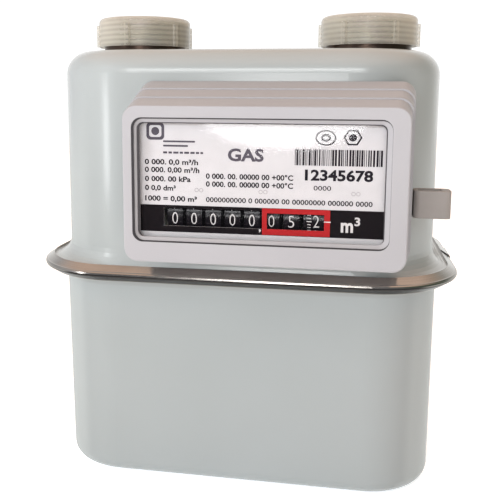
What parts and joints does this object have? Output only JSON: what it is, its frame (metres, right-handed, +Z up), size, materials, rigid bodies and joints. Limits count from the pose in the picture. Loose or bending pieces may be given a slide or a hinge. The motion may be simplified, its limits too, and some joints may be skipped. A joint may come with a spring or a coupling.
{
  "type": "gas meter",
  "caption": "Household diaphragm gas meter: two pressed steel case halves in a clamp band, capped threaded connections on top, and a drum index behind a window with a seal lug.",
  "frame": {"origin": "on the underside of the lower case, below the point midway between the two connections", "axes": "+X from the inlet to the outlet, +Y to the back, +Z up; the index faces -Y"},
  "size_m": [0.1937, 0.153, 0.214],
  "materials": {
    "case_paint": "satin paint",
    "band_steel": "polished stainless",
    "zinc": "bright zinc plate",
    "cap_plastic": "milky translucent",
    "cover_plastic": "fine satin",
    "pane": "clear polycarbonate",
    "plate_white": "printed",
    "drum_black": "printed digits",
    "gear_white": "acetal",
    "frame_plastic": "moulded",
    "shaft_steel": "ground",
    "brass": "turned",
    "magnet": "sintered",
    "chamber_plastic": "moulded",
    "pan_plastic": "moulded",
    "cloth": "coated cloth",
    "gasket": "matt"
  },
  "bodies": {
    "meter": {"lower_case": "case_paint", "upper_case": "case_paint", "case_gasket": "gasket", "clamp_band": "band_steel", "inlet_connector": "zinc", "outlet_connector": "zinc", "index_cover": "cover_plastic", "index_window": "pane", "data_plate": "plate_white", "seal_lug": "cover_plastic", "drum_shaft": "shaft_steel", "carry_shaft": "shaft_steel", "index_frame": "frame_plastic", "coupling_cup": "brass", "gear_bracket": "frame_plastic", "chamber_body": "chamber_plastic", "chamber_screws": "shaft_steel", "front_chamber_cover": "chamber_plastic", "rear_chamber_cover": "chamber_plastic", "front_diaphragm": "cloth", "rear_diaphragm": "cloth", "valve_table": "chamber_plastic", "outlet_pipe": "chamber_plastic"},
    "inlet_cap": {"inlet_cap": "cap_plastic"},
    "outlet_cap": {"outlet_cap": "cap_plastic"},
    "crank": {"crank": "gear_white"},
    "drive_shaft": {"drive_shaft": "gear_white"},
    "magnet_rotor": {"magnet_rotor": "magnet"},
    "outer_magnet": {"outer_magnet": "magnet"},
    "cross_shaft": {"cross_shaft": "gear_white"},
    "index_idler": {"index_idler": "gear_white"},
    "number_drum_8": {"number_drum_8": "drum_black", "pulse_magnet": "magnet"},
    "number_drum_7": {"number_drum_7": "drum_black"},
    "number_drum_6": {"number_drum_6": "drum_black"},
    "number_drum_5": {"number_drum_5": "drum_black"},
    "number_drum_4": {"number_drum_4": "drum_black"},
    "number_drum_3": {"number_drum_3": "drum_black"},
    "number_drum_2": {"number_drum_2": "drum_black"},
    "number_drum_1": {"number_drum_1": "drum_black"},
    "carry_pinion_7": {"carry_pinion_7": "gear_white"},
    "carry_pinion_6": {"carry_pinion_6": "gear_white"},
    "carry_pinion_5": {"carry_pinion_5": "gear_white"},
    "carry_pinion_4": {"carry_pinion_4": "gear_white"},
    "carry_pinion_3": {"carry_pinion_3": "gear_white"},
    "carry_pinion_2": {"carry_pinion_2": "gear_white"},
    "carry_pinion_1": {"carry_pinion_1": "gear_white"},
    "front_flag": {"front_flag_rod": "shaft_steel", "front_flag": "pan_plastic", "front_arm": "gear_white"},
    "front_pan": {"front_pan": "pan_plastic"},
    "front_link": {"front_link": "gear_white"},
    "front_valve": {"front_valve": "pan_plastic"},
    "rear_flag": {"rear_flag_rod": "shaft_steel", "rear_flag": "pan_plastic", "rear_arm": "gear_white"},
    "rear_pan": {"rear_pan": "pan_plastic"},
    "rear_link": {"rear_link": "gear_white"},
    "rear_valve": {"rear_valve": "pan_plastic"}
  },
  "joints": [
    {"name": "inlet_cap_lift", "type": "slide", "parent": "meter", "child": "inlet_cap", "axis": [0, 0, 1], "range_m": [0, 0.045]},
    {"name": "outlet_cap_lift", "type": "slide", "parent": "meter", "child": "outlet_cap", "axis": [0, 0, 1], "range_m": [0, 0.045]},
    {"name": "crank_turn", "type": "hinge", "parent": "meter", "child": "crank", "pos_m": [0, 0.004, 0], "axis": [0, 0, 1], "continuous": true},
    {"name": "drive_shaft_turn", "type": "hinge", "parent": "meter", "child": "drive_shaft", "pos_m": [0, 0, 0.127], "axis": [0, 1, 0], "continuous": true},
    {"name": "magnet_rotor_turn", "type": "hinge", "parent": "meter", "child": "magnet_rotor", "pos_m": [-0.0105, 0, 0.1459], "axis": [0, 1, 0], "continuous": true},
    {"name": "outer_magnet_turn", "type": "hinge", "parent": "meter", "child": "outer_magnet", "pos_m": [-0.0105, 0, 0.1459], "axis": [0, 1, 0], "continuous": true},
    {"name": "cross_shaft_turn", "type": "hinge", "parent": "meter", "child": "cross_shaft", "pos_m": [0, -0.0684, 0.1459], "axis": [1, 0, 0], "continuous": true},
    {"name": "idler_turn", "type": "hinge", "parent": "meter", "child": "index_idler", "pos_m": [0, -0.06577, 0.1392], "axis": [1, 0, 0], "continuous": true},
    {"name": "drum_8_turn", "type": "hinge", "parent": "meter", "child": "number_drum_8", "pos_m": [0, -0.0686, 0.1294], "axis": [1, 0, 0], "continuous": true},
    {"name": "drum_7_turn", "type": "hinge", "parent": "meter", "child": "number_drum_7", "pos_m": [0, -0.0686, 0.1294], "axis": [1, 0, 0], "continuous": true},
    {"name": "drum_6_turn", "type": "hinge", "parent": "meter", "child": "number_drum_6", "pos_m": [0, -0.0686, 0.1294], "axis": [1, 0, 0], "continuous": true},
    {"name": "drum_5_turn", "type": "hinge", "parent": "meter", "child": "number_drum_5", "pos_m": [0, -0.0686, 0.1294], "axis": [1, 0, 0], "continuous": true},
    {"name": "drum_4_turn", "type": "hinge", "parent": "meter", "child": "number_drum_4", "pos_m": [0, -0.0686, 0.1294], "axis": [1, 0, 0], "continuous": true},
    {"name": "drum_3_turn", "type": "hinge", "parent": "meter", "child": "number_drum_3", "pos_m": [0, -0.0686, 0.1294], "axis": [1, 0, 0], "continuous": true},
    {"name": "drum_2_turn", "type": "hinge", "parent": "meter", "child": "number_drum_2", "pos_m": [0, -0.0686, 0.1294], "axis": [1, 0, 0], "continuous": true},
    {"name": "drum_1_turn", "type": "hinge", "parent": "meter", "child": "number_drum_1", "pos_m": [0, -0.0686, 0.1294], "axis": [1, 0, 0], "continuous": true},
    {"name": "carry_7_turn", "type": "hinge", "parent": "meter", "child": "carry_pinion_7", "pos_m": [0, -0.06536, 0.11941], "axis": [1, 0, 0], "continuous": true},
    {"name": "carry_6_turn", "type": "hinge", "parent": "meter", "child": "carry_pinion_6", "pos_m": [0, -0.06536, 0.11941], "axis": [1, 0, 0], "continuous": true},
    {"name": "carry_5_turn", "type": "hinge", "parent": "meter", "child": "carry_pinion_5", "pos_m": [0, -0.06536, 0.11941], "axis": [1, 0, 0], "continuous": true},
    {"name": "carry_4_turn", "type": "hinge", "parent": "meter", "child": "carry_pinion_4", "pos_m": [0, -0.06536, 0.11941], "axis": [1, 0, 0], "continuous": true},
    {"name": "carry_3_turn", "type": "hinge", "parent": "meter", "child": "carry_pinion_3", "pos_m": [0, -0.06536, 0.11941], "axis": [1, 0, 0], "continuous": true},
    {"name": "carry_2_turn", "type": "hinge", "parent": "meter", "child": "carry_pinion_2", "pos_m": [0, -0.06536, 0.11941], "axis": [1, 0, 0], "continuous": true},
    {"name": "carry_1_turn", "type": "hinge", "parent": "meter", "child": "carry_pinion_1", "pos_m": [0, -0.06536, 0.11941], "axis": [1, 0, 0], "continuous": true},
    {"name": "front_flag_swing", "type": "hinge", "parent": "meter", "child": "front_flag", "pos_m": [-0.07, -0.001, 0], "axis": [0, 0, 1], "range_deg": [-9.9, 9.9]},
    {"name": "front_pan_slide", "type": "slide", "parent": "meter", "child": "front_pan", "axis": [0, 1, 0], "range_m": [-0.0104, 0.0104]},
    {"name": "front_link_turn", "type": "hinge", "parent": "front_flag", "child": "front_link", "pos_m": [-0.045, 0.0414, 0], "axis": [0, 0, 1], "range_deg": [-9.9, 9.9]},
    {"name": "front_valve_slide", "type": "slide", "parent": "meter", "child": "front_valve", "axis": [1, 0, 0], "range_m": [-0.004, 0.004]},
    {"name": "rear_flag_swing", "type": "hinge", "parent": "meter", "child": "rear_flag", "pos_m": [0.07, 0.009, 0], "axis": [0, 0, 1], "range_deg": [-9.9, 9.9]},
    {"name": "rear_pan_slide", "type": "slide", "parent": "meter", "child": "rear_pan", "axis": [0, 1, 0], "range_m": [-0.0104, 0.0104]},
    {"name": "rear_link_turn", "type": "hinge", "parent": "rear_flag", "child": "rear_link", "pos_m": [0.0396, 0.0479, 0], "axis": [0, 0, 1], "range_deg": [-9.9, 9.9]},
    {"name": "rear_valve_slide", "type": "slide", "parent": "meter", "child": "rear_valve", "axis": [1, 0, 0], "range_m": [-0.004, 0.004]}
  ],
  "couplings": [
    {"joint": "drive_shaft_turn", "follows": "crank_turn", "ratio": -2},
    {"joint": "magnet_rotor_turn", "follows": "crank_turn", "ratio": 2},
    {"joint": "outer_magnet_turn", "follows": "crank_turn", "ratio": 2},
    {"joint": "cross_shaft_turn", "follows": "crank_turn", "ratio": -1},
    {"joint": "idler_turn", "follows": "crank_turn", "ratio": 0.33333},
    {"joint": "drum_8_turn", "follows": "crank_turn", "ratio": -0.12},
    {"joint": "drum_7_turn", "follows": "crank_turn", "ratio": -0.012},
    {"joint": "drum_6_turn", "follows": "crank_turn", "ratio": -0.0012},
    {"joint": "drum_5_turn", "follows": "crank_turn", "ratio": -0.00012},
    {"joint": "drum_4_turn", "follows": "crank_turn", "ratio": -0.000012},
    {"joint": "drum_3_turn", "follows": "crank_turn", "ratio": -0.0000012},
    {"joint": "drum_2_turn", "follows": "crank_turn", "ratio": -0.00000012},
    {"joint": "drum_1_turn", "follows": "crank_turn", "ratio": -0.000000012},
    {"joint": "carry_7_turn", "follows": "crank_turn", "ratio": 0.03},
    {"joint": "carry_6_turn", "follows": "crank_turn", "ratio": 0.003},
    {"joint": "carry_5_turn", "follows": "crank_turn", "ratio": 0.0003},
    {"joint": "carry_4_turn", "follows": "crank_turn", "ratio": 0.00003},
    {"joint": "carry_3_turn", "follows": "crank_turn", "ratio": 0.000003},
    {"joint": "carry_2_turn", "follows": "crank_turn", "ratio": 0.0000003},
    {"joint": "carry_1_turn", "follows": "crank_turn", "ratio": 0.00000003},
    {"joint": "front_pan_slide", "follows": "front_flag_swing", "m_per_rad": 0.0597},
    {"joint": "front_link_turn", "follows": "front_flag_swing", "ratio": -1},
    {"joint": "rear_pan_slide", "follows": "rear_flag_swing", "m_per_rad": -0.0597},
    {"joint": "rear_link_turn", "follows": "rear_flag_swing", "ratio": -1}
  ]
}
